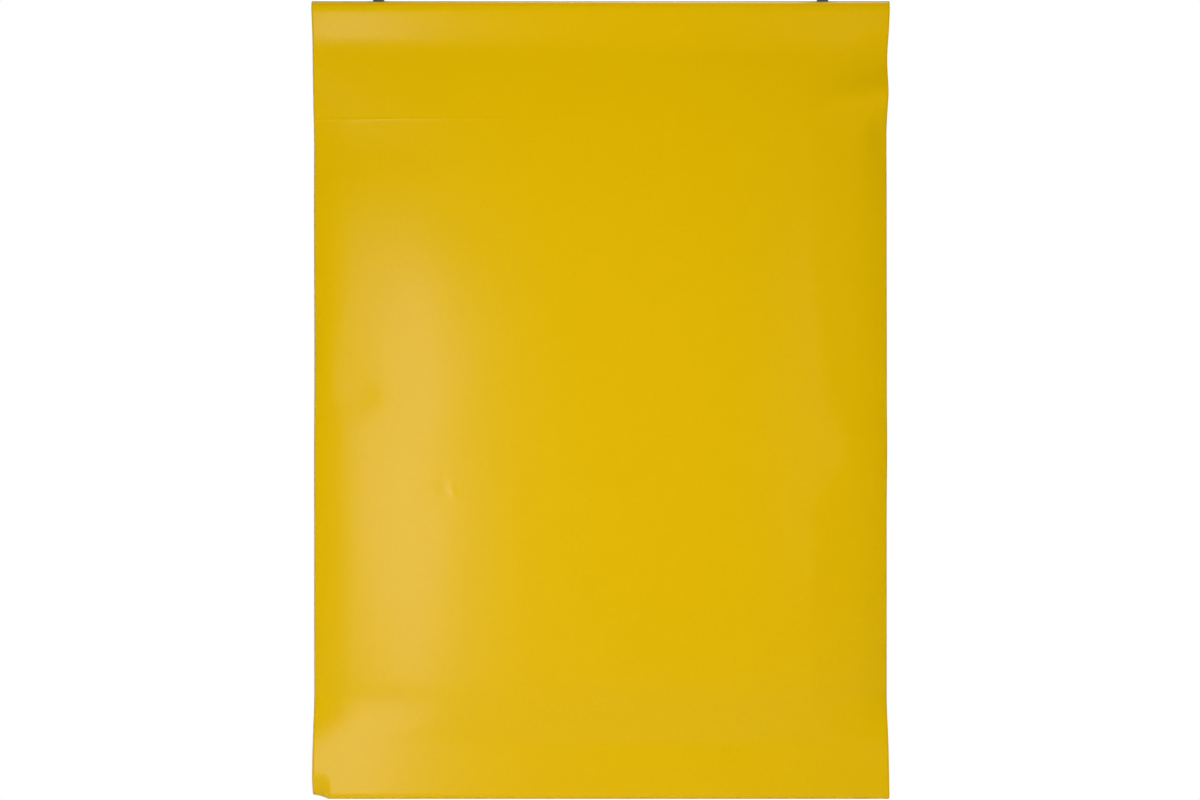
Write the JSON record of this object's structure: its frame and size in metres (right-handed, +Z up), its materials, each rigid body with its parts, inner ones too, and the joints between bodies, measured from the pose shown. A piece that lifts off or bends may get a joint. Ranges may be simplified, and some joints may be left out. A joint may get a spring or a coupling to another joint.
{
  "type": "welding curtain",
  "caption": "Opaque golden-yellow PVC welding curtain with welded sleeves at top and bottom, hung by a steel rail, eye bolts and snap hooks from eye plates.",
  "frame": {"origin": "midway between the two eye plates, on the plane of their upper faces, where the beam is", "axes": "+X along the curtain's width, +Z up, and the curtain's front faces -Y"},
  "size_m": [1.3, 0.036, 1.953],
  "materials": {
    "pvc_sheet": "satin",
    "galvanised_tube": "satin",
    "zinc_hardware": "satin",
    "spring_steel": "satin",
    "black_nylon": "matte"
  },
  "bodies": {
    "plates": {"left_eye_plate": "zinc_hardware", "right_eye_plate": "zinc_hardware", "left_plate_screw_1": "zinc_hardware", "left_plate_screw_2": "zinc_hardware", "right_plate_screw_1": "zinc_hardware", "right_plate_screw_2": "zinc_hardware"},
    "left_hook": {"left_snap_hook": "zinc_hardware", "left_gate_rivet": "spring_steel"},
    "right_hook": {"right_snap_hook": "zinc_hardware", "right_gate_rivet": "spring_steel"},
    "left_gate": {"left_hook_gate": "zinc_hardware", "left_gate_spring": "spring_steel"},
    "right_gate": {"right_hook_gate": "zinc_hardware", "right_gate_spring": "spring_steel"},
    "curtain": {"curtain_sheet": "pvc_sheet", "top_rail": "galvanised_tube", "left_rail_plug": "black_nylon", "right_rail_plug": "black_nylon", "bottom_tube": "galvanised_tube", "left_bottom_plug": "black_nylon", "right_bottom_plug": "black_nylon", "left_retaining_screw": "zinc_hardware", "right_retaining_screw": "zinc_hardware", "left_washer": "zinc_hardware", "right_washer": "zinc_hardware", "left_eye_bolt": "zinc_hardware", "right_eye_bolt": "zinc_hardware", "left_upper_saddle": "black_nylon", "right_upper_saddle": "black_nylon", "left_lower_saddle": "black_nylon", "right_lower_saddle": "black_nylon", "left_lock_nut": "zinc_hardware", "right_lock_nut": "zinc_hardware"}
  },
  "joints": [
    {"name": "left_hook_swing", "type": "hinge", "parent": "plates", "child": "left_hook", "pos_m": [-0.5, 0, -0.0167], "axis": [1, 0, 0], "range_deg": [-45, 45]},
    {"name": "right_hook_swing", "type": "hinge", "parent": "plates", "child": "right_hook", "pos_m": [0.5, 0, -0.0167], "axis": [1, 0, 0], "range_deg": [-45, 45]},
    {"name": "curtain_swing", "type": "hinge", "parent": "left_hook", "child": "curtain", "pos_m": [-0.5, 0, -0.0887], "axis": [1, 0, 0], "range_deg": [-45, 45]},
    {"name": "left_gate_open", "type": "hinge", "parent": "left_hook", "child": "left_gate", "pos_m": [-0.516, 0, -0.0667], "axis": [0, 1, 0], "range_deg": [0, 25], "stiffness_Nm_per_rad": 0.04, "springref_deg": -57.3},
    {"name": "right_gate_open", "type": "hinge", "parent": "right_hook", "child": "right_gate", "pos_m": [0.516, 0, -0.0667], "axis": [0, -1, 0], "range_deg": [0, 25], "stiffness_Nm_per_rad": 0.04, "springref_deg": -57.3}
  ],
  "couplings": [
    {"joint": "right_hook_swing", "follows": "left_hook_swing", "ratio": 1}
  ]
}
